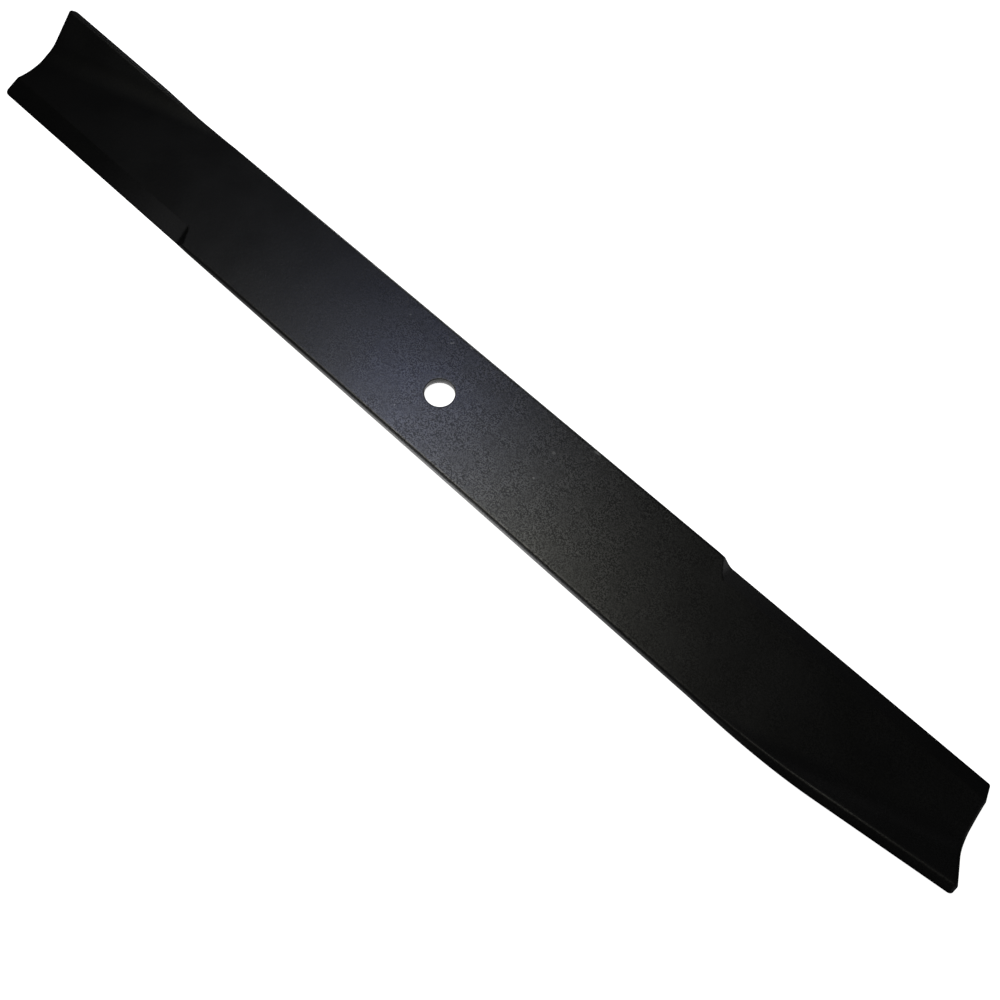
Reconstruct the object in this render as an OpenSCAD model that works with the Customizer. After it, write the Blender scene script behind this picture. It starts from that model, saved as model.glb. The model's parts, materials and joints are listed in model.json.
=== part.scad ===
// Rotary mower blade: one flat steel bar with a spindle hole in the middle,
// a ground cutting edge on the leading side of each end and a folded-up wing on the trailing side.
// The origin is on the spindle axis, on the underside. X runs along the bar and Z is up.

/* [Bar] */
// Length from tip to tip
bar_length = 635; // [480:1:800]
// Width of the bar
bar_width = 64.8; // [50:0.1:80]
// Thickness of the bar
bar_thickness = 6.35; // [4:0.05:9.5]
// Radius on the rolled edges of the bar
edge_radius = 1.6; // [0.4:0.1:2.4]

/* [Spindle hole] */
// Diameter of the hole for the spindle bolt
bore_diameter = 15.875; // [10:0.025:26]
// Width of the rim that the punch draws in round the top of the hole
rim_width = 0.6; // [0.3:0.1:2]
// Depth of that drawn-in rim
rim_depth = 0.4; // [0.2:0.05:1]
// How far the hole breaks out wider at the underside, on its radius
break_out = 0.8; // [0.2:0.05:1.2]

/* [Cutting edge] */
// Length of the ground edge, measured back from the tip
grind_length = 159.5; // [145:0.5:200]
// Length of the shoulder where the grind runs out
grind_runout = 10.3; // [3:0.1:14]
// Angle between the ground face and the underside
bevel_angle = 30; // [24:0.5:45]
// Thickness left at the cutting edge
edge_land = 0.5; // [0.3:0.05:1]
// How far the grind sets the cutting edge in from the side of the bar
edge_inset = 0.5; // [0.1:0.1:1.5]

/* [Wing] */
// Length of the wing along the trailing edge, measured back from the tip
wing_length = 128.5; // [90:0.5:135]
// Angle of the fold line to the length of the bar
fold_sweep = 17.5; // [10:0.5:19]
// Radius on the inside of the fold
fold_radius = 21; // [12:0.5:32]
// Angle that the wing is folded up by
wing_angle = 43; // [20:1:55]

/* [Tip] */
// How much shorter the blade is at the cutting side of a tip than at the wing
tip_skew = 0.8; // [0.1:0.1:3]
// Depth of the hollow that is cut into the end at +X
tip_hollow = 0.3; // [0.1:0.1:3]
// Depth of the hollow that is cut into the end at -X
far_tip_hollow = 2; // [0.1:0.1:3]
// Distance of the deepest point of a hollow from the cutting side
hollow_place = 17.5; // [14:0.5:30]
// Distance over which a hollow runs out to each side
hollow_reach = 17; // [10:0.5:20]
// Radius of the tip's corner on the wing, seen from above
wing_corner = 1.6; // [0.8:0.1:4]
// Radius of the tip's corner at the cutting edge of the +X end
edge_corner = 0.8; // [0.4:0.1:4]
// Radius of the tip's corner at the cutting edge of the -X end
far_edge_corner = 2.4; // [0.4:0.1:4]

/* [Hidden] */

half_length = bar_length / 2;
half_width = bar_width / 2;
mid_height = bar_thickness / 2;
// Radius of the fold at the middle of the thickness
fold_mid_radius = fold_radius + mid_height;
// Arc length of the fold at the middle of the thickness
fold_arc = fold_mid_radius * wing_angle * PI / 180;
// Where the grind and the fold start along the bar
grind_x = half_length - grind_length;
fold_x = half_length - wing_length;
// Width of the ground face, seen from above, and where its upper rim lies across the bar
bevel_width = (bar_thickness - edge_land) / tan(bevel_angle);
bevel_y = half_width - edge_inset - bevel_width;

// Numbers of steps in the formed end
round_steps = 3;
flat_steps = 20;
bevel_steps = 6;
runout_steps = 6;
wing_steps = 15;
bore_sides = 96;

// How far a round of radius r falls away at distance d from its edge
function round_drop(d, r) = d < r ? r - sqrt(r * r - (r - d) * (r - d)) : 0;

// Drop of the rolled edges at distance d from the side of the bar
function edge_drop(d) = round_drop(d, edge_radius);

// Share of the run-out that lies behind x, from 0 at the start of the grind to 1 at full depth
function grind_share(x) = min(1, max(0, (x - grind_x) / grind_runout));

// Where the grind moves a point of the cutting side: in by the edge's inset at the side, and less
// towards the upper rim of the ground face
function set_in_y(x, y) =
    y - edge_inset * grind_share(x) * max(0, (y - bevel_y) / (half_width - bevel_y));

// Height of the ground face: a slope up from the land, lifted out of the bar along the run-out
function ground_z(x, y) =
    edge_land + (half_width - edge_inset - y) * tan(bevel_angle)
    + bar_thickness * (1 + cos(180 * grind_share(x))) / 2;

// Heights of the upper and lower skin of the blank, before it is folded
function upper_z(x, y) =
    min(bar_thickness - edge_drop(half_width + y) - edge_drop(half_width - y), ground_z(x, set_in_y(x, y)));
function lower_z(x, y) =
    edge_drop(half_width + y) + edge_drop(half_width - y) * (1 - grind_share(x));

// Share of the hollow's depth at y: full at its place and fading smoothly to nothing at its reach
function hollow_share(y) =
    pow(max(0, 1 - pow((half_width - y - hollow_place) / hollow_reach, 2)), 2);

// End of the blank at y: cut at a skew, with a hollow towards the cutting side and rounded corners
function tip_x(y, hollow, corner) =
    half_length - tip_skew * (half_width + y) / bar_width - hollow * hollow_share(y)
    - round_drop(half_width + y, wing_corner) - round_drop(half_width - y, corner);

// Distance of a point of the blank beyond the fold line
function fold_reach(x, y) = (x - fold_x) * sin(fold_sweep) - (y + half_width) * cos(fold_sweep);

// A point of the blank, moved to its place after the wing is folded up:
// it keeps its place along the fold line and is wound round the fold across it
function folded(p) =
    let (reach = fold_reach(p.x, p.y))
    reach <= 0 ? p :
    let (
        turn = min(reach, fold_arc) / fold_mid_radius * 180 / PI,
        beyond = max(0, reach - fold_arc),
        off = p.z - mid_height,
        along = (p.x - fold_x) * cos(fold_sweep) + (p.y + half_width) * sin(fold_sweep),
        out = fold_mid_radius * sin(turn) + beyond * cos(turn) - off * sin(turn),
        up = mid_height + fold_mid_radius * (1 - cos(turn)) + beyond * sin(turn) + off * cos(turn)
    )
    [
        fold_x + along * cos(fold_sweep) + out * sin(fold_sweep),
        along * sin(fold_sweep) - out * cos(fold_sweep) - half_width,
        up
    ];

// Value that lies the share k of the way from a to b
function between(a, b, k) = a + (b - a) * k;

// Lines across the bar, from the trailing side to the cutting side
round_offsets = [for (k = [0:round_steps]) edge_radius * (1 - cos(90 * k / round_steps))];
lines = concat(
    [for (d = round_offsets) d - half_width],
    [for (k = [1:flat_steps]) between(edge_radius - half_width, bevel_y, k / flat_steps)],
    [for (k = [1:bevel_steps]) between(bevel_y, half_width - edge_radius, k / bevel_steps)],
    [for (k = [1:round_steps]) half_width - round_offsets[round_steps - k]]
);

// Rows along the formed end: [share of the way to the tip, share of the thickness that is left]
formed_length = half_length - grind_x;
wing_share = (fold_x - grind_x) / formed_length;
last_share = 1 - edge_radius / formed_length;
rows = concat(
    [for (k = [0:runout_steps]) [grind_runout * k / runout_steps / formed_length, 1]],
    [for (k = [0:wing_steps]) [between(wing_share, last_share, k / wing_steps), 1]],
    [for (k = [1:round_steps])
        let (a = 90 * k / round_steps)
        [between(last_share, 1, sin(a)), 1 - edge_radius * (1 - cos(a)) / mid_height]]
);

// A point of the formed end on the upper (side 1) or lower (side 0) skin
function skin_point(row, y, side, hollow, corner) =
    let (
        x = between(grind_x, tip_x(y, hollow, corner), row[0]),
        low = lower_z(x, y),
        high = upper_z(x, y),
        edge = side == 1 ? high : low,
        middle = (low + high) / 2
    )
    folded([x, set_in_y(x, y), between(middle, edge, row[1])]);

// Two triangles that fill the cell a, b, c, d
function cell(a, b, c, d) = [[a, b, c], [a, c, d]];

// One end of the blade, from the start of the grind to the tip: two skins and the walls round them
module formed_end(hollow, corner) {
    line_count = len(lines);
    row_count = len(rows);
    skin = line_count * row_count;
    last_line = line_count - 1;
    last_row = row_count - 1;
    function at(i, j, side) = side * skin + i * line_count + j;
    points = [for (side = [0, 1]) for (row = rows) for (y = lines)
        skin_point(row, y, side, hollow, corner)];
    upper = [for (i = [0:last_row - 1]) for (j = [0:last_line - 1])
        each cell(at(i, j, 1), at(i, j + 1, 1), at(i + 1, j + 1, 1), at(i + 1, j, 1))];
    lower = [for (i = [0:last_row - 1]) for (j = [0:last_line - 1])
        each cell(at(i, j, 0), at(i + 1, j, 0), at(i + 1, j + 1, 0), at(i, j + 1, 0))];
    trailing_wall = [for (i = [0:last_row - 1])
        each cell(at(i, 0, 0), at(i, 0, 1), at(i + 1, 0, 1), at(i + 1, 0, 0))];
    cutting_wall = [for (i = [0:last_row - 1])
        each cell(at(i, last_line, 0), at(i + 1, last_line, 0), at(i + 1, last_line, 1), at(i, last_line, 1))];
    root_wall = [for (j = [0:last_line - 1])
        each cell(at(0, j, 0), at(0, j + 1, 0), at(0, j + 1, 1), at(0, j, 1))];
    tip_wall = [for (j = [0:last_line - 1])
        each cell(at(last_row, j, 0), at(last_row, j, 1), at(last_row, j + 1, 1), at(last_row, j + 1, 0))];
    polyhedron(points, concat(upper, lower, trailing_wall, cutting_wall, root_wall, tip_wall));
}

// The flat middle of the bar, between the two grinds, with its rolled edges
module flat_bar() {
    side_lines = concat(
        [for (d = round_offsets) d - half_width],
        [for (k = [0:round_steps]) half_width - round_offsets[round_steps - k]]
    );
    last = len(side_lines) - 1;
    section = concat(
        [for (y = side_lines) [y, lower_z(0, y)]],
        [for (k = [0:last]) [side_lines[last - k], upper_z(0, side_lines[last - k])]]
    );
    rotate([90, 0, 90])
        linear_extrude(height = 2 * grind_x, center = true)
            polygon(section);
}

// The punched spindle hole: drawn in at the top rim, straight, and broken out wider at the underside
module spindle_hole() {
    translate([0, 0, -bar_thickness])
        cylinder(d = bore_diameter, h = 3 * bar_thickness, $fn = bore_sides);
    cylinder(d1 = bore_diameter + 2 * break_out, d2 = bore_diameter, h = mid_height, $fn = bore_sides);
    translate([0, 0, bar_thickness - rim_depth])
        cylinder(d1 = bore_diameter, d2 = bore_diameter + 2 * rim_width, h = rim_depth, $fn = bore_sides);
}

// The whole blade: the flat bar and its two ends, the one at -X turned half round
module blade() {
    color([0.06, 0.06, 0.065])
        difference() {
            union() {
                flat_bar();
                formed_end(tip_hollow, edge_corner);
                rotate(180)
                    formed_end(far_tip_hollow, far_edge_corner);
            }
            spindle_hole();
        }
}

blade();
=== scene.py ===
"""Rotary mower blade: a black-coated steel bar with a spindle hole, ground edges and folded wings.

The blade is one closed surface worked out with numpy. A flat blank is given its thickness, rolled
edges and ground faces, and its wings are then wound up round their fold lines. Lengths of the blade and
of the viewpoint are millimetres in the blade's own frame: X along the bar, Z up, origin on the spindle
axis at the underside. Lengths of the studio are metres.
"""

import json
import logging
import math
from dataclasses import dataclass, field
from enum import Enum, IntEnum

import bpy
import numpy as np
from mathutils import Matrix, Vector
from numpy.typing import NDArray


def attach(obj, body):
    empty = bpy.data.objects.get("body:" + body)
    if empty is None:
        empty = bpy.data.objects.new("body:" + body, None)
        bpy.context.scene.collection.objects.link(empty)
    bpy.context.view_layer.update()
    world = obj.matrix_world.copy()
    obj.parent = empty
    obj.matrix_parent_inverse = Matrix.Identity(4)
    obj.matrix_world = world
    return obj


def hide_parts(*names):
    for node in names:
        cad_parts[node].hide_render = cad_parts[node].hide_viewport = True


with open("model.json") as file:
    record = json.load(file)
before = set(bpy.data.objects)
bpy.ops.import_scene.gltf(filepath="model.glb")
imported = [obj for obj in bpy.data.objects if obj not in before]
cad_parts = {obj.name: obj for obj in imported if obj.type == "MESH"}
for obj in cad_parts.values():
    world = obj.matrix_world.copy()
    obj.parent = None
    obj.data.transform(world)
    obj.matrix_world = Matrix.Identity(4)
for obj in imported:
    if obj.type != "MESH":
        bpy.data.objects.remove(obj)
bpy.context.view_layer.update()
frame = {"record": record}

Array = NDArray[np.float64]
Colour = tuple[float, float, float]
Point = tuple[float, float, float]
Socket = bpy.types.NodeSocket

MM = 0.001
# Socket types of the node groups
FLOAT = "NodeSocketFloat"
VECTOR = "NodeSocketVector"
# Numbers of a colour Mix node's sockets, which share their names with its other kinds
MIX_FACTOR, MIX_FIRST, MIX_SECOND, MIX_RESULT = 0, 6, 7, 2
# Range that holds most values of a noise
NOISE_LOW, NOISE_HIGH = 0.3, 0.7
log = logging.getLogger("mower_blade")


class Skin(IntEnum):
    """The two broad sides of the bar."""

    LOWER = 0
    UPPER = 1


class Surface(IntEnum):
    """The kinds of surface on the blade, in the order of its material slots."""

    COATED = 0
    GROUND = 1
    PUNCHED = 2


class LampShape(Enum):
    """Outlines of a soft light."""

    ROUND = "DISK"
    PANEL = "RECTANGLE"


def mount(name: str) -> dict:
    """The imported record's mount of that name."""
    return next(m for m in frame["record"]["mounts"] if m["name"] == name)


def round_drop(distance: Array, radius: float) -> Array:
    """Fall of a rounded edge: a quarter circle down to the side, and nothing beyond the radius.

    In words: the radius less the root of the radius squared less the square of how far the point
    lies inside the round.

    Args:
        distance: Distances from the side.
        radius: Radius of the round.

    Returns:
        How far the surface lies below its flat at each distance.
    """
    inside = np.clip(radius - distance, 0.0, radius)
    return radius - np.sqrt(radius**2 - inside**2)


def half_turn(points: Array) -> Array:
    """Points turned half round about the spindle axis."""
    return points * np.array([-1.0, -1.0, 1.0])


@dataclass
class Patch:
    """A piece of surface: grid points, the four-sided faces between them and each face's kind."""

    points: Array
    quads: NDArray[np.int64]
    kinds: NDArray[np.int64]

    @classmethod
    def from_grid(
        cls, grid: Array, closed: bool = False, kinds: NDArray | int = Surface.COATED
    ) -> "Patch":
        """Join a grid of points into faces that look along its first direction crossed with its second.

        Args:
            grid: Points, shaped (rows, columns, 3).
            closed: Whether the last column joins the first.
            kinds: One kind for all faces, or an array shaped as the faces are.

        Returns:
            The patch.
        """
        rows, columns = grid.shape[:2]
        index = np.arange(rows * columns).reshape(rows, columns)
        following = np.roll(index, -1, axis=1) if closed else index[:, 1:]
        index = index if closed else index[:, :-1]
        quads = np.stack([index[:-1], index[1:], following[1:], following[:-1]], axis=-1)
        face_kinds = np.broadcast_to(np.asarray(kinds, dtype=np.int64), quads.shape[:2])
        return cls(grid.reshape(-1, 3), quads.reshape(-1, 4), face_kinds.reshape(-1))

    def without(self, gone: NDArray[np.bool_]) -> "Patch":
        """The patch less the faces that are marked as gone."""
        return Patch(self.points, self.quads[~gone], self.kinds[~gone])

    @staticmethod
    def weld(patches: list["Patch"], places: int = 5) -> "Patch":
        """Join patches into one and merge the points that they share.

        Args:
            patches: The patches.
            places: Decimal places, in millimetres, to which shared points agree.

        Returns:
            One patch with no doubled and no loose points.
        """
        starts = np.cumsum([0] + [len(p.points) for p in patches[:-1]])
        points = np.concatenate([p.points for p in patches])
        quads = np.concatenate([p.quads + start for p, start in zip(patches, starts)])
        kinds = np.concatenate([p.kinds for p in patches])
        used, quads = np.unique(quads, return_inverse=True)
        points = points[used]
        _, first, merged = np.unique(points.round(places), axis=0, return_index=True, return_inverse=True)
        return Patch(points[first], merged.reshape(-1)[quads.reshape(-1, 4)], kinds)

    def to_object(self, name: str, crease: float) -> bpy.types.Object:
        """Put the patch into a mesh, in metres, with smooth faces that meet sharply at creases.

        Args:
            name: Name of the object and its mesh.
            crease: Angle, in degrees, from which an edge is sharp.

        Returns:
            The object, linked to the scene, at the origin.
        """
        mesh = bpy.data.meshes.new(name)
        mesh.from_pydata((self.points * MM).tolist(), [], self.quads.tolist())
        mesh.polygons.foreach_set("material_index", self.kinds.astype(np.int32))
        mesh.polygons.foreach_set("use_smooth", np.ones(len(self.quads), dtype=bool))
        mesh.set_sharp_from_angle(angle=math.radians(crease))
        mesh.validate()
        piece = bpy.data.objects.new(name, mesh)
        bpy.context.scene.collection.objects.link(piece)
        return piece


@dataclass(frozen=True)
class Bar:
    """The flat stock that the blade is made from."""

    length: float = 635.0
    width: float = 64.8
    thickness: float = field(default_factory=lambda: mount("top_clamp_face")["pos_m"][2] / MM)
    edge_radius: float = 1.6

    @property
    def half_length(self) -> float:
        """Half of the length."""
        return self.length / 2

    @property
    def half_width(self) -> float:
        """Half of the width."""
        return self.width / 2

    @property
    def middle(self) -> float:
        """Height of the middle of the thickness."""
        return self.thickness / 2

    def edge_drop(self, y: Array, side: int) -> Array:
        """Fall of the rolled edge on the side at -Y (side -1) or +Y (side 1)."""
        return round_drop(self.half_width - side * y, self.edge_radius)


@dataclass(frozen=True)
class FormedEnd:
    """The end at +X: a ground cutting edge on its +Y side and a folded-up wing on its -Y side."""

    bar: Bar
    tip_hollow: float
    edge_corner: float
    grind_length: float = 159.5
    grind_runout: float = 10.3
    bevel_angle: float = 30.0
    edge_land: float = 0.5
    edge_inset: float = 0.5
    wing_length: float = 128.5
    fold_sweep: float = 17.5
    fold_radius: float = 21.0
    wing_angle: float = 43.0
    tip_skew: float = 0.8
    hollow_place: float = 17.5
    hollow_reach: float = 17.0
    wing_corner: float = 1.6

    @property
    def grind_x(self) -> float:
        """Where the grind starts along the bar."""
        return self.bar.half_length - self.grind_length

    @property
    def bevel_y(self) -> float:
        """Where the upper rim of the ground face lies across the bar."""
        rise = self.bar.thickness - self.edge_land
        return self.bar.half_width - self.edge_inset - rise / math.tan(math.radians(self.bevel_angle))

    def grind_share(self, x: Array) -> Array:
        """Share of the run-out that lies behind x: 0 where the grind starts, 1 at its full depth."""
        return np.clip((x - self.grind_x) / self.grind_runout, 0.0, 1.0)

    def set_in_y(self, x: Array, y: Array) -> Array:
        """Where the grind moves points of the cutting side.

        They move in by the edge's inset at the side of the bar, and by an even share of it less towards
        the upper rim of the ground face.

        Args:
            x: Places along the bar.
            y: Places across it.

        Returns:
            The places across the bar after grinding.
        """
        share = np.maximum(0.0, (y - self.bevel_y) / (self.bar.half_width - self.bevel_y))
        return y - self.edge_inset * self.grind_share(x) * share

    def ground_z(self, x: Array, y: Array) -> Array:
        """Height of the ground face: a slope up from the land, lifted out of the bar by half a cosine."""
        edge = self.bar.half_width - self.edge_inset
        slope = (edge - self.set_in_y(x, y)) * math.tan(math.radians(self.bevel_angle))
        lift = self.bar.thickness * (1 + np.cos(np.pi * self.grind_share(x))) / 2
        return self.edge_land + slope + lift

    def rolled_z(self, y: Array) -> Array:
        """Height of the upper skin of the stock, with both rolled edges."""
        return self.bar.thickness - self.bar.edge_drop(y, -1) - self.bar.edge_drop(y, 1)

    def skin_z(self, x: Array, y: Array, skin: Skin) -> Array:
        """Height of a skin of the blank: the upper one is the lower of stock and ground face.

        Args:
            x: Places along the bar.
            y: Places across it.
            skin: Which skin.

        Returns:
            Heights above the underside.
        """
        if skin is Skin.UPPER:
            return np.minimum(self.rolled_z(y), self.ground_z(x, y))
        return self.bar.edge_drop(y, -1) + self.bar.edge_drop(y, 1) * (1 - self.grind_share(x))

    def tip_x(self, y: Array) -> Array:
        """End of the blank at y: cut at a skew, with a hollow and rounded corners.

        The hollow is full at its place and fades to each side as the square of one less the squared
        share of its reach.

        Args:
            y: Places across the bar.

        Returns:
            Places of the end along the bar.
        """
        half = self.bar.half_width
        skew = self.tip_skew * (half + y) / self.bar.width
        away = (half - y - self.hollow_place) / self.hollow_reach
        hollow = self.tip_hollow * np.clip(1 - away**2, 0.0, 1.0) ** 2
        corners = round_drop(half + y, self.wing_corner) + round_drop(half - y, self.edge_corner)
        return self.bar.half_length - skew - hollow - corners

    def fold(self, blank: Array) -> Array:
        """Wind the blank up round the fold line.

        A point keeps its place along the fold line. Its distance beyond the line becomes an arc of the
        fold's radius at the middle of the thickness, and then a straight run at the wing's angle. Its
        height above the middle of the thickness is kept square to the surface.

        Args:
            blank: Points of the flat blank, in the last axis.

        Returns:
            The points in their places after folding.
        """
        bar = self.bar
        radius = self.fold_radius + bar.middle
        arc = radius * math.radians(self.wing_angle)
        sweep = math.radians(self.fold_sweep)
        line = np.array([math.cos(sweep), math.sin(sweep)])
        across = np.array([line[1], -line[0]])
        root = np.array([bar.half_length - self.wing_length, -bar.half_width])
        along = (blank[..., :2] - root) @ line
        reach = (blank[..., :2] - root) @ across
        turn = np.clip(reach, 0.0, arc) / radius
        beyond = np.maximum(reach - arc, 0.0)
        offset = blank[..., 2] - bar.middle
        out = (radius - offset) * np.sin(turn) + beyond * np.cos(turn)
        up = bar.middle + radius * (1 - np.cos(turn)) + beyond * np.sin(turn) + offset * np.cos(turn)
        plan = root + along[..., None] * line + out[..., None] * across
        folded = np.concatenate([plan, up[..., None]], axis=-1)
        return np.where((reach > 0)[..., None], folded, blank)

    def skin_grid(self, shares: Array, left: Array, lines: Array, skin: Skin) -> Array:
        """Points of one skin from the start of the grind to the tip.

        Each row lies a share of the way to the tip, and the skins close on the middle of the local
        thickness by what is left of it.

        Args:
            shares: Share of the way to the tip, one for each row.
            left: Share of the thickness that is left, one for each row.
            lines: Places across the bar.
            skin: Which skin.

        Returns:
            Points, shaped (rows, lines, 3).
        """
        y = np.broadcast_to(lines, (len(shares), len(lines)))
        x = self.grind_x + (self.tip_x(y) - self.grind_x) * shares[:, None]
        low = self.skin_z(x, y, Skin.LOWER)
        high = self.skin_z(x, y, Skin.UPPER)
        middle = (low + high) / 2
        edge = high if skin is Skin.UPPER else low
        z = middle + (edge - middle) * left[:, None]
        return self.fold(np.stack([x, self.set_in_y(x, y), z], axis=-1))

    def ground_cells(self, shares: Array, lines: Array) -> NDArray[np.bool_]:
        """Which cells of the upper skin lie on the ground face, shaped (rows - 1, lines - 1)."""
        y = np.broadcast_to(lines, (len(shares), len(lines)))
        x = self.grind_x + (self.tip_x(y) - self.grind_x) * shares[:, None]
        cut = (self.ground_z(x, y) < self.rolled_z(y) - 1e-6).astype(float)
        return (cut[:-1, :-1] + cut[1:, :-1] + cut[:-1, 1:] + cut[1:, 1:]) >= 2


@dataclass(frozen=True)
class SpindleHole:
    """The punched hole for the spindle bolt: drawn in at the top and broken out at the underside."""

    bar: Bar
    radius: float = field(default_factory=lambda: mount("spindle_bore")["dims"]["r_mm"])
    rim_width: float = 0.6
    rim_depth: float = 0.4
    break_out: float = 0.8
    block: float = 16.0
    rings: int = 6
    roll_steps: int = 12
    wall_steps: int = 4

    def patch(self, border: Array) -> Patch:
        """Surface from a square border on the upper skin, down through the hole, to the lower skin.

        Every border point has one point on each ring. A ring on a skin lies between the rim and the
        border by an even share. The drawn-in rim is a quarter of an ellipse, the upper half of the wall
        runs straight down, and the lower half widens evenly to the underside.

        Args:
            border: Places of the border in plan, counter-clockwise, shaped (points, 2).

        Returns:
            The patch, with its wall of the punched kind.
        """
        top, middle = self.bar.thickness, self.bar.middle
        angle = np.arctan2(border[:, 1], border[:, 0])
        circle = np.stack([np.cos(angle), np.sin(angle)], axis=-1)
        turn = np.linspace(np.pi / 2, 0.0, self.roll_steps + 1)
        straight = np.linspace(top - self.rim_depth, middle, self.wall_steps + 1)[1:]
        flare = np.linspace(middle, 0.0, self.wall_steps + 1)[1:]
        radii = self.radius + np.concatenate([
            self.rim_width * (1 - np.cos(turn)),
            np.zeros(self.wall_steps),
            self.break_out * (1 - flare / middle),
        ])
        wall_z = np.concatenate([top - self.rim_depth * (1 - np.sin(turn)), straight, flare])
        wall = circle * radii[:, None, None]
        shares = np.linspace(0.0, 1.0, self.rings + 1)[:-1, None, None]
        above = border + (wall[0] - border) * shares
        below = border + (wall[-1] - border) * shares[::-1]
        plans = np.concatenate([above, wall, below])
        heights = np.concatenate([np.full(self.rings, top), wall_z, np.zeros(self.rings)])
        z = np.broadcast_to(heights[:, None, None], (*plans.shape[:2], 1))
        grid = np.concatenate([plans, z], axis=-1)
        kinds = np.full((len(grid) - 1, len(border)), Surface.COATED)
        wall_start = self.rings + self.roll_steps
        kinds[wall_start:wall_start + 2 * self.wall_steps] = Surface.PUNCHED
        return Patch.from_grid(grid[:, ::-1], closed=True, kinds=kinds)


class Wiring:
    """Adds nodes to one node tree and joins their sockets."""

    def __init__(self, tree: bpy.types.NodeTree) -> None:
        """Start on a tree, emptied."""
        self.tree = tree
        tree.nodes.clear()

    def add(self, kind: str, inputs: dict | None = None, **settings: object) -> bpy.types.Node:
        """Add a node.

        Args:
            kind: Blender's name of the node type.
            inputs: For input names or numbers, the socket to join or the value to set.
            settings: Properties of the node.

        Returns:
            The node.
        """
        node = self.tree.nodes.new(kind)
        for name, value in settings.items():
            setattr(node, name, value)
        for key, value in (inputs or {}).items():
            if isinstance(value, Socket):
                self.tree.links.new(value, node.inputs[key])
            else:
                node.inputs[key].default_value = value
        return node

    def maths(self, operation: str, *values: Socket | float) -> Socket:
        """The result of a Math node on the given sockets or numbers."""
        return self.add("ShaderNodeMath", dict(enumerate(values)), operation=operation).outputs[0]

    def noise(self, vector: Socket, scale: Socket | float, detail: float = 0.0) -> Socket:
        """A noise value, about 0 to 1, at a scale per metre."""
        inputs = {"Vector": vector, "Scale": scale, "Detail": detail}
        return self.add("ShaderNodeTexNoise", inputs).outputs["Fac"]

    def remap(self, value: Socket, low: float, high: float, to_low: float, to_high: float) -> Socket:
        """A value mapped smoothly from one range to another, and held at its ends."""
        inputs = {"Value": value, "From Min": low, "From Max": high, "To Min": to_low, "To Max": to_high}
        node = self.add("ShaderNodeMapRange", inputs, interpolation_type="SMOOTHSTEP")
        return node.outputs["Result"]


def new_group(
    name: str, inputs: dict[str, str], outputs: dict[str, str]
) -> tuple[Wiring, dict[str, Socket], dict[str, Socket]]:
    """Start a shader node group.

    Args:
        name: Name of the group.
        inputs: Names and socket types of what goes in.
        outputs: Names and socket types of what comes out.

    Returns:
        The group's wiring, its input sockets by name, and its output node's inputs by name.
    """
    tree = bpy.data.node_groups.new(name, "ShaderNodeTree")
    for label, kind in inputs.items():
        tree.interface.new_socket(label, in_out="INPUT", socket_type=kind)
    for label, kind in outputs.items():
        tree.interface.new_socket(label, in_out="OUTPUT", socket_type=kind)
    wiring = Wiring(tree)
    entry = wiring.add("NodeGroupInput")
    leave = wiring.add("NodeGroupOutput")
    return wiring, {k: entry.outputs[k] for k in inputs}, {k: leave.inputs[k] for k in outputs}


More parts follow.
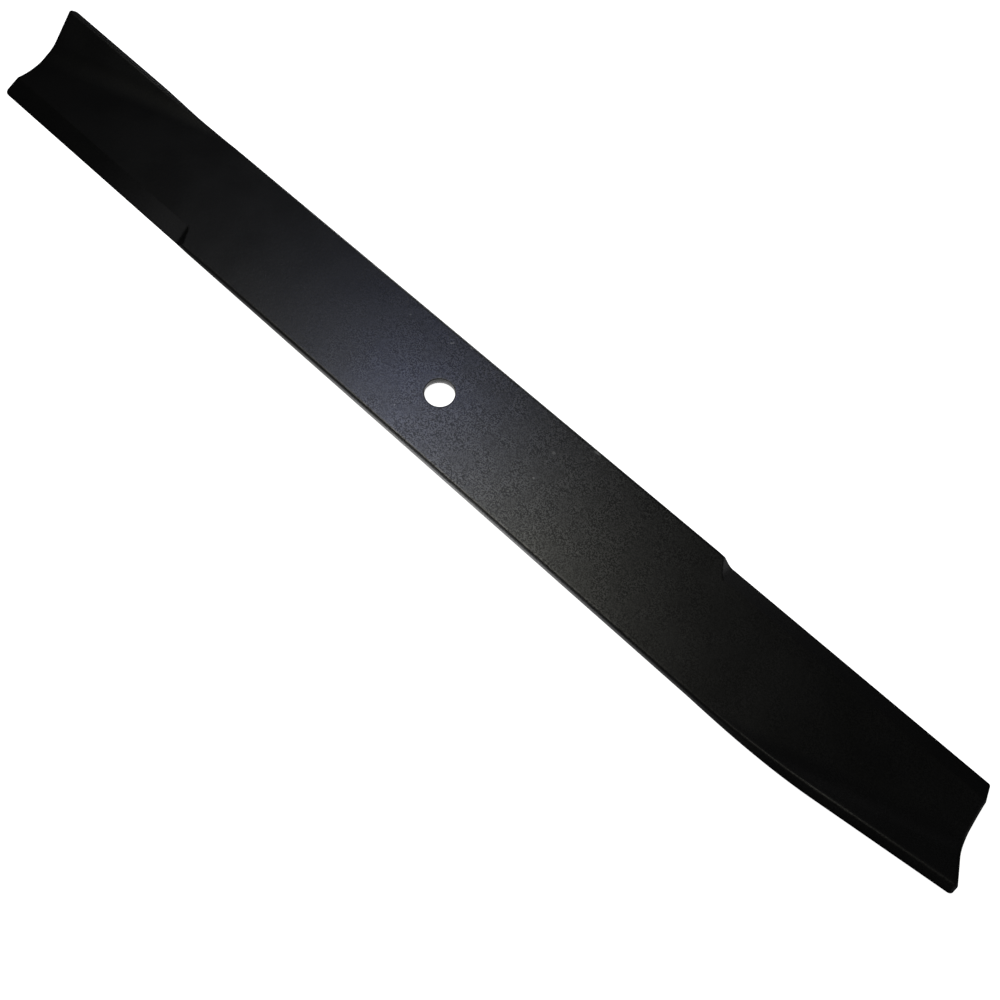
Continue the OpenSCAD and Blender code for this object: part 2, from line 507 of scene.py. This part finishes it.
@dataclass(frozen=True)
class CoatTexture:
    """The skin of a sprayed and baked coat, which all finishes share. Places along X are metres."""

    speck_core: float = 0.1
    speck_rim: float = 0.45
    rise: tuple[float, float] = (-0.12, 0.02)
    rise_share: float = 0.05
    fall: tuple[float, float] = (0.1, 0.19)
    fall_share: float = 0.5
    patch_noise: tuple[float, float] = (0.35, 0.6)
    patch_share: tuple[float, float] = (0.55, 1.05)

    def group(self) -> bpy.types.NodeTree:
        """Orange peel, fine grain and raised specks, a slow mottle, and dots of gloss.

        Heights are millimetres and scales are per metre. The height is the sum of a slow noise, a fine
        noise and a round bump in one cell out of many. The mottle is a slow noise of its own. The dots
        are a fine noise from -1 to 1 with the specks added. A noise of patches weakens them here and
        there, and they fade along the bar: they rise from the -X end to the middle and fall towards +X.

        Returns:
            The node group.
        """
        scales = ("Peel Scale", "Grain Scale", "Speck Scale", "Mottle Scale", "Dot Scale", "Patch Scale")
        heights = ("Peel Height", "Grain Height", "Speck Height")
        inputs = {"Vector": VECTOR} | dict.fromkeys(scales + heights + ("Speck Share",), FLOAT)
        outputs = dict.fromkeys(("Height", "Mottle", "Dots"), FLOAT)
        wiring, given, result = new_group("coat_texture", inputs, outputs)
        vector = given["Vector"]
        peel = wiring.noise(vector, given["Peel Scale"], detail=1.0)
        grain = wiring.noise(vector, given["Grain Scale"], detail=1.0)
        cells = wiring.add("ShaderNodeTexVoronoi", {"Vector": vector, "Scale": given["Speck Scale"]})
        lot = wiring.add("ShaderNodeSeparateColor", {"Color": cells.outputs["Color"]}).outputs[0]
        chosen = wiring.maths("LESS_THAN", lot, given["Speck Share"])
        dome = wiring.remap(cells.outputs["Distance"], self.speck_core, self.speck_rim, 1.0, 0.0)
        speck = wiring.maths("MULTIPLY", dome, chosen)
        peel_height = wiring.maths("MULTIPLY", peel, given["Peel Height"])
        grain_height = wiring.maths("MULTIPLY_ADD", grain, given["Grain Height"], peel_height)
        height = wiring.maths("MULTIPLY_ADD", speck, given["Speck Height"], grain_height)
        mottle = wiring.noise(vector, given["Mottle Scale"], detail=3.0)
        along = wiring.add("ShaderNodeSeparateXYZ", {0: vector}).outputs["X"]
        rise = wiring.remap(along, *self.rise, self.rise_share, 1.0)
        fall = wiring.remap(along, *self.fall, 1.0, self.fall_share)
        patch_noise = wiring.noise(vector, given["Patch Scale"])
        patches = wiring.remap(patch_noise, *self.patch_noise, *self.patch_share)
        fade = wiring.maths("MULTIPLY", wiring.maths("MULTIPLY", rise, fall), patches)
        dots = wiring.remap(wiring.noise(vector, given["Dot Scale"]), NOISE_LOW, NOISE_HIGH, -1.0, 1.0)
        faded = wiring.maths("MULTIPLY", wiring.maths("ADD", dots, speck), fade)
        for label, value in {"Height": height, "Mottle": mottle, "Dots": faded}.items():
            wiring.tree.links.new(value, result[label])
        return wiring.tree


@dataclass(frozen=True)
class MarkMask:
    """The ragged outline that all small marks in the coat share."""

    ragged_scale: float = 1500.0
    raggedness: float = 0.8
    core: float = 0.5
    rim: float = 1.5

    def group(self) -> bpy.types.NodeTree:
        """A mask that is full in the middle of a mark and gone at its rim.

        The place is taken from the mark's centre, turned about Z and divided by the mark's half length,
        half width and depth. The mask fades with the length of that vector, which a fine noise disturbs.

        Returns:
            The node group.
        """
        inputs = {"Vector": VECTOR, "Centre": VECTOR, "Turn": FLOAT, "Half Size": VECTOR}
        wiring, given, result = new_group("coat_mark", inputs, {"Mask": FLOAT})
        vector = given["Vector"]
        away = wiring.add("ShaderNodeVectorMath", {0: vector, 1: given["Centre"]}, operation="SUBTRACT")
        turn = {"Vector": away.outputs[0], "Angle": given["Turn"]}
        turned = wiring.add("ShaderNodeVectorRotate", turn, rotation_type="Z_AXIS")
        shares = {0: turned.outputs[0], 1: given["Half Size"]}
        scaled = wiring.add("ShaderNodeVectorMath", shares, operation="DIVIDE")
        span = wiring.add("ShaderNodeVectorMath", {0: scaled.outputs[0]}, operation="LENGTH")
        noise = wiring.noise(vector, self.ragged_scale)
        ragged = wiring.maths("MULTIPLY_ADD", noise, self.raggedness, span.outputs["Value"])
        wiring.tree.links.new(wiring.remap(ragged, self.core, self.rim, 1.0, 0.0), result["Mask"])
        return wiring.tree


@dataclass(frozen=True)
class CoatMark:
    """A small rub mark on the upper face.

    Its place, half length and half width are millimetres, and its turn about Z is degrees.
    """

    x: float
    y: float
    half_length: float
    half_width: float
    turn: float
    strength: float


RUB_MARKS = (
    CoatMark(-15.3, 25.6, 2.4, 0.75, 45.0, 0.9),
    CoatMark(80.8, 30.6, 2.4, 0.9, 0.0, 1.0),
    CoatMark(64.5, 15.2, 1.4, 1.1, 20.0, 0.6),
    CoatMark(66.0, -2.0, 0.85, 0.75, 0.0, 0.8),
    CoatMark(-11.8, -20.9, 0.8, 0.75, 0.0, 0.8),
    CoatMark(-42.9, 22.9, 0.8, 0.7, 0.0, 0.6),
    CoatMark(-5.9, 30.6, 0.8, 0.7, 0.0, 0.7),
)


@dataclass(frozen=True)
class CoatFinish:
    """A finish of the black coat. Sizes of its texture are millimetres."""

    name: str
    colour: Colour = (0.002, 0.002, 0.0021)
    roughness: float = 0.37
    roughness_spread: float = 0.03
    peel_size: float = 1.8
    peel_height: float = 0.05
    grain_size: float = 0.8
    grain_height: float = 0.06
    specular: float = 0.29
    gloss: float = 0.42
    gloss_contrast: float = 0.47
    gloss_roughness: float = 0.36
    speck_size: float = 1.2
    speck_height: float = 0.02
    speck_share: float = 0.12
    mottle_size: float = 25.0
    dot_size: float = 0.6
    patch_size: float = 9.0
    marks: tuple[CoatMark, ...] = ()
    mark_colour: Colour = (0.11, 0.11, 0.11)
    mark_depth: float = 1.5

    def colour_with_marks(
        self, wiring: Wiring, place: Socket, mark: bpy.types.NodeTree, top: float
    ) -> Socket | tuple[float, ...]:
        """The coat's colour with every mark laid over it.

        Args:
            wiring: The material's wiring.
            place: Places in the blade's own frame.
            mark: The mark group.
            top: Height of the upper face.

        Returns:
            The plain colour where the finish has no marks, or else a colour socket.
        """
        colour = (*self.colour, 1.0)
        for spot in self.marks:
            half_size = (spot.half_length, spot.half_width, self.mark_depth)
            mask = wiring.add("ShaderNodeGroup", {
                "Vector": place,
                "Centre": (spot.x * MM, spot.y * MM, top * MM),
                "Turn": math.radians(-spot.turn),
                "Half Size": tuple(size * MM for size in half_size),
            }, node_tree=mark)
            share = wiring.maths("MULTIPLY", mask.outputs["Mask"], spot.strength)
            layers = {MIX_FACTOR: share, MIX_FIRST: colour, MIX_SECOND: (*self.mark_colour, 1.0)}
            colour = wiring.add("ShaderNodeMix", layers, data_type="RGBA").outputs[MIX_RESULT]
        return colour

    def material(
        self, texture: bpy.types.NodeTree, mark: bpy.types.NodeTree, top: float
    ) -> bpy.types.Material:
        """Make the material.

        Args:
            texture: The coat's texture group.
            mark: The mark group.
            top: Height of the upper face.

        Returns:
            A material with the texture in its roughness, its gloss layer and its bump.
        """
        made = bpy.data.materials.new(self.name)
        made.use_nodes = True
        wiring = Wiring(made.node_tree)
        place = wiring.add("ShaderNodeTexCoord").outputs["Object"]
        skin = wiring.add("ShaderNodeGroup", {
            "Vector": place,
            "Peel Scale": 1 / (self.peel_size * MM),
            "Grain Scale": 1 / (self.grain_size * MM),
            "Speck Scale": 1 / (self.speck_size * MM),
            "Mottle Scale": 1 / (self.mottle_size * MM),
            "Dot Scale": 1 / (self.dot_size * MM),
            "Patch Scale": 1 / (self.patch_size * MM),
            "Peel Height": self.peel_height,
            "Grain Height": self.grain_height,
            "Speck Height": self.speck_height,
            "Speck Share": self.speck_share,
        }, node_tree=texture)
        relief = {"Height": skin.outputs["Height"], "Strength": 1.0, "Distance": MM}
        bump = wiring.add("ShaderNodeBump", relief)
        low, high = self.roughness - self.roughness_spread, self.roughness + self.roughness_spread
        roughness = wiring.remap(skin.outputs["Mottle"], NOISE_LOW, NOISE_HIGH, low, high)
        gloss = wiring.maths("MULTIPLY_ADD", skin.outputs["Dots"], self.gloss_contrast, self.gloss)
        shader = wiring.add("ShaderNodeBsdfPrincipled", {
            "Base Color": self.colour_with_marks(wiring, place, mark, top),
            "Roughness": roughness,
            "Specular IOR Level": self.specular,
            "Coat Weight": gloss,
            "Coat Roughness": self.gloss_roughness,
            "Normal": bump.outputs["Normal"],
        })
        wiring.add("ShaderNodeOutputMaterial", {"Surface": shader.outputs["BSDF"]})
        return made


@dataclass
class Blade:
    """The whole blade: one bar, its two formed ends, its hole and its coat."""

    bar: Bar = field(default_factory=Bar)
    tip_hollow: float = 0.3
    far_tip_hollow: float = 2.0
    edge_corner: float = 0.8
    far_edge_corner: float = 2.4
    round_steps: int = 6
    line_step: float = 1.0
    bevel_line_step: float = 0.5
    row_step: float = 1.5
    runout_row_step: float = 0.25
    flat_row_step: float = 4.0
    crease: float = 22.0

    def __post_init__(self) -> None:
        """Make the two ends and the hole from the bar."""
        self.end = FormedEnd(self.bar, self.tip_hollow, self.edge_corner)
        self.far_end = FormedEnd(self.bar, self.far_tip_hollow, self.far_edge_corner)
        self.hole = SpindleHole(self.bar)

    def lines(self) -> Array:
        """Places across the bar, the same on both sides: rolled edges, bevel lines and the flat."""
        half, radius, bevel = self.bar.half_width, self.bar.edge_radius, self.end.bevel_y
        block = self.hole.block
        rolled = half - radius * (1 - np.cos(np.linspace(0, np.pi / 2, self.round_steps + 1)))
        ground = self.spread(half - radius, bevel, self.bevel_line_step)
        outer = self.spread(bevel, block, self.line_step)
        inner = self.spread(block, 0.0, self.line_step)
        side = np.concatenate([rolled, ground[1:], outer[1:], inner[1:-1]])
        return np.concatenate([-side, [0.0], side[::-1]])

    @staticmethod
    def spread(start: float, stop: float, step: float) -> Array:
        """Evenly spaced values from start to stop, about one step apart."""
        return np.linspace(start, stop, max(1, round(abs(stop - start) / step)) + 1)

    def end_rows(self) -> tuple[Array, Array]:
        """Rows of a formed end.

        Returns:
            Each row's share of the way to the tip, and the share of the thickness left there.
        """
        formed = self.end.grind_length
        radius = self.bar.edge_radius
        runout = self.spread(0.0, self.end.grind_runout, self.runout_row_step)
        body = self.spread(self.end.grind_runout, formed - radius, self.row_step)
        turn = np.linspace(0, np.pi / 2, self.round_steps + 1)[1:]
        rounded = formed - radius + radius * np.sin(turn)
        left = 1 - radius * (1 - np.cos(turn)) / self.bar.middle
        shares = np.concatenate([runout, body[1:], rounded]) / formed
        return shares, np.concatenate([np.ones(len(shares) - len(left)), left])

    def flat_rows(self) -> Array:
        """Rows of the flat middle, finer beside the hole, without the two rows shared with the ends."""
        block = self.hole.block
        outer = self.spread(self.end.grind_x, block, self.flat_row_step)
        inner = self.spread(block, -block, self.line_step)
        return np.concatenate([-outer[1:], inner[::-1][1:-1], outer[::-1][:-1]])

    def tube(self) -> Patch:
        """The bar's skin as a closed section carried along its length, less a square round the hole.

        Each section runs across the upper skin from -Y to +Y and back across the lower one. The far
        end is worked out as a near one and turned half round.

        Returns:
            The patch.
        """
        lines = self.lines()
        shares, left = self.end_rows()
        rows = self.flat_rows()
        skins = {}
        for skin in Skin:
            near, far = (end.skin_grid(shares, left, lines, skin) for end in (self.end, self.far_end))
            x, y = np.meshgrid(rows, lines, indexing="ij")
            flat = np.stack([x, y, self.end.skin_z(x * 0, y, skin)], axis=-1)
            skins[skin] = np.concatenate([half_turn(far)[::-1, ::-1], flat, near])
        grid = np.concatenate([skins[Skin.UPPER], skins[Skin.LOWER][:, ::-1]], axis=1)
        ground = self.end.ground_cells(shares, lines)
        kinds = np.full((len(grid) - 1, grid.shape[1]), Surface.COATED)
        cells = len(lines) - 1
        kinds[-len(ground):, :cells][ground] = Surface.GROUND
        kinds[:len(ground), :cells][ground[::-1, ::-1]] = Surface.GROUND
        patch = Patch.from_grid(grid, closed=True, kinds=kinds)
        centre = patch.points[patch.quads].mean(axis=1)
        inside = np.all(np.abs(centre[:, :2]) < self.hole.block, axis=1)
        return patch.without(inside)

    def cap(self, end: FormedEnd) -> Patch:
        """The narrow wall across the tip of an end, between the last rows of its two skins."""
        lines = self.lines()
        shares, left = self.end_rows()
        low, high = (end.skin_grid(shares[-1:], left[-1:], lines, skin)[0] for skin in Skin)
        return Patch.from_grid(np.stack([low, high], axis=1))

    def border(self) -> Array:
        """The square round the hole in plan, counter-clockwise, on the points of the grid."""
        block = self.hole.block
        side = self.spread(-block, block, self.line_step)[:-1]
        edge = np.stack([np.full_like(side, block), side], axis=-1)
        quarter = np.array([[0.0, -1.0], [1.0, 0.0]])
        turns = [np.linalg.matrix_power(quarter, k) for k in range(4)]
        return np.concatenate([edge @ turn.T for turn in turns])

    def build(self) -> bpy.types.Object:
        """Weld the skin, the two tip walls and the hole into one closed mesh.

        Returns:
            The blade's object.
        """
        far_cap = self.cap(self.far_end)
        far_cap.points = half_turn(far_cap.points)
        whole = Patch.weld([self.tube(), self.cap(self.end), far_cap, self.hole.patch(self.border())])
        return whole.to_object("coated_blade", self.crease)

    def dress(self, piece: bpy.types.Object) -> None:
        """Give the blade its finishes, one for each kind of surface."""
        texture, mark = CoatTexture().group(), MarkMask().group()
        finishes = {
            Surface.COATED: CoatFinish("black_coat", marks=RUB_MARKS),
            Surface.GROUND: CoatFinish("black_coat_on_ground_face"),
            Surface.PUNCHED: CoatFinish(
                "black_coat_in_hole", specular=0.17, gloss=0.25, gloss_contrast=0.28
            ),
        }
        for surface in Surface:
            piece.data.materials.append(finishes[surface].material(texture, mark, self.bar.thickness))


@dataclass(frozen=True)
class SoftLight:
    """A soft light that faces the spindle hole. Its place and size are metres."""

    name: str
    shape: LampShape
    place: Point
    size: tuple[float, float]
    radiance: Colour

    def build(self) -> bpy.types.Object:
        """Make the light, out of the camera's sight.

        Returns:
            The light's object.
        """
        lamp = bpy.data.lights.new(self.name, "AREA")
        lamp.shape = self.shape.value
        lamp.size = self.size[0]
        if self.shape is LampShape.PANEL:
            lamp.size_y = self.size[1]
            area = self.size[0] * self.size[1]
        else:
            area = math.pi * self.size[0] ** 2 / 4
        strongest = max(self.radiance)
        lamp.color = tuple(c / strongest for c in self.radiance)
        lamp.energy = strongest * math.pi * area
        light = bpy.data.objects.new(self.name, lamp)
        light.location = self.place
        light.rotation_mode = "QUATERNION"
        light.rotation_quaternion = (-Vector(self.place)).to_track_quat("-Z", "Y")
        light.visible_camera = False
        bpy.context.scene.collection.objects.link(light)
        return light


@dataclass(frozen=True)
class Viewpoint:
    """The camera's place and aim, in millimetres, and its picture, in pixels of the square image."""

    place: Point = (132.4, -145.7, 399.86)
    aim: Point = (48.185, -8.585, 6.35)
    roll: float = 11.22
    image: float = 1000.0
    focal: float = 852.1
    axis_pixel: tuple[float, float] = (498.19, 463.9)
    sensor: float = 36.0

    def build(self) -> bpy.types.Object:
        """Make the camera and set it as the scene's.

        Returns:
            The camera's object.
        """
        data = bpy.data.cameras.new("viewpoint")
        data.sensor_width = self.sensor
        data.lens = self.focal / self.image * self.sensor
        data.shift_x = 0.5 - self.axis_pixel[0] / self.image
        data.shift_y = self.axis_pixel[1] / self.image - 0.5
        camera = bpy.data.objects.new("viewpoint", data)
        ahead = (Vector(self.aim) - Vector(self.place)).normalized()
        level = ahead.to_track_quat("-Z", "Y").to_matrix()
        turned = level @ Matrix.Rotation(math.radians(self.roll), 3, "Z")
        camera.matrix_world = Matrix.Translation(Vector(self.place) * MM) @ turned.to_4x4()
        bpy.context.scene.collection.objects.link(camera)
        bpy.context.scene.camera = camera
        return camera


@dataclass(frozen=True)
class Studio:
    """The plain pale floor, the soft lights and the surroundings. Lengths are metres."""

    floor_half: float = 6.0
    floor_gap: float = 0.00005
    floor_colour: Colour = (0.8, 0.8, 0.8)
    floor_glow: float = 1.0
    pool_light: float = 1.18
    pool_centre: float = 0.03
    pool_reach: float = 0.106
    room_light: float = 0.008

    def lights(self) -> list[SoftLight]:
        """The lights of the studio."""
        disc, panel = LampShape.ROUND, LampShape.PANEL
        return [
            SoftLight("overhead_light", disc, (-0.099, -0.02, 0.606), (0.416, 0.0), (4.31, 4.26, 3.66)),
            SoftLight("cool_light", disc, (-0.161, 0.118, 0.493), (0.12, 0.0), (2.99, 3.75, 8.27)),
            SoftLight("near_panel", panel, (-0.16, -0.85, 0.24), (0.35, 0.4), (1.5, 1.5, 1.5)),
            SoftLight("far_panel", panel, (-0.36, 0.78, 0.16), (0.42, 0.22), (5.5, 5.5, 5.5)),
            SoftLight("left_light", disc, (-0.253, -0.11, 0.094), (0.06, 0.0), (0.44, 0.44, 0.46)),
            SoftLight("right_panel", panel, (0.4, 1.6, 0.35), (0.8, 0.8), (0.03, 0.03, 0.03)),
            SoftLight("right_near_panel", panel, (1.6, -0.9, 0.5), (1.2, 0.8), (0.4, 0.4, 0.4)),
            SoftLight("right_far_panel", panel, (1.5, 0.5, 0.5), (1.2, 0.8), (0.3, 0.3, 0.3)),
        ]

    def floor(self) -> bpy.types.Object:
        """A level square sheet just below the blade, pale to the camera.

        The blade's reflections see it as a painted band of light under the middle of the blade, a glow
        that only glossy rays see and that no lamp casts: along the bar its strength is a bell curve, the
        exponential of the negative square of the distance from its centre in units of its reach.

        Returns:
            The floor's object.
        """
        half = self.floor_half
        side = np.array([-half, half])
        x, y = np.meshgrid(side, side, indexing="ij")
        grid = np.stack([x, y, np.full_like(x, -self.floor_gap)], axis=-1) / MM
        sheet = Patch.from_grid(grid).to_object("floor", crease=90.0)
        made = bpy.data.materials.new("pale_floor")
        made.use_nodes = True
        wiring = Wiring(made.node_tree)
        path = wiring.add("ShaderNodeLightPath")
        glow = wiring.maths("MULTIPLY", path.outputs["Is Camera Ray"], self.floor_glow)
        shader = wiring.add("ShaderNodeBsdfPrincipled", {
            "Base Color": (*self.floor_colour, 1.0),
            "Roughness": 1.0,
            "Specular IOR Level": 0.0,
            "Emission Color": (1.0, 1.0, 1.0, 1.0),
            "Emission Strength": glow,
        })
        # Painted reflection: to glossy rays the floor is an emission band along the bar, not lit by any
        # lamp
        place = wiring.add("ShaderNodeTexCoord").outputs["Object"]
        along = wiring.add("ShaderNodeSeparateXYZ", {0: place}).outputs["X"]
        away = wiring.maths("DIVIDE", wiring.maths("SUBTRACT", along, self.pool_centre), self.pool_reach)
        square = wiring.maths("MULTIPLY", away, away)
        bell = wiring.maths("EXPONENT", wiring.maths("MULTIPLY", square, -1.0))
        strength = wiring.maths("MULTIPLY", bell, self.pool_light)
        pool = wiring.add("ShaderNodeEmission", {"Strength": strength})
        glossy = path.outputs["Is Glossy Ray"]
        upper = wiring.add("ShaderNodeMixShader", {0: glossy, 1: shader.outputs[0], 2: pool.outputs[0]})
        back = wiring.add("ShaderNodeNewGeometry").outputs["Backfacing"]
        clear = wiring.add("ShaderNodeBsdfTransparent")
        mixed = wiring.add("ShaderNodeMixShader", {0: back, 1: upper.outputs[0], 2: clear.outputs[0]})
        wiring.add("ShaderNodeOutputMaterial", {"Surface": mixed.outputs[0]})
        sheet.data.materials.append(made)
        return sheet

    def surroundings(self) -> None:
        """A white backdrop to the camera and a dim room to everything else."""
        world = bpy.data.worlds.new("surroundings")
        world.use_nodes = True
        wiring = Wiring(world.node_tree)
        seen = wiring.add("ShaderNodeLightPath").outputs["Is Camera Ray"]
        strength = wiring.remap(seen, 0.0, 1.0, self.room_light, 1.0)
        white = (1.0, 1.0, 1.0, 1.0)
        backdrop = wiring.add("ShaderNodeBackground", {"Color": white, "Strength": strength})
        wiring.add("ShaderNodeOutputWorld", {"Surface": backdrop.outputs[0]})
        bpy.context.scene.world = world

    def build(self) -> None:
        """Make the floor, the lights and the surroundings, and show colours as they are."""
        self.floor()
        for light in self.lights():
            light.build()
            log.info("light %s", light.name)
        self.surroundings()
        bpy.context.scene.view_settings.view_transform = "Standard"


def main() -> None:
    """Build the blade, dress it, and set the studio and the camera round it."""
    logging.basicConfig(level=logging.INFO, format="%(name)s: %(message)s")
    blade = Blade()
    piece = blade.build()
    blade.dress(piece)
    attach(piece, "root")
    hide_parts("blade")
    log.info("piece %s: %d faces", piece.name, len(piece.data.polygons))
    Studio().build()
    Viewpoint().build()


if __name__ == "__main__":
    main()
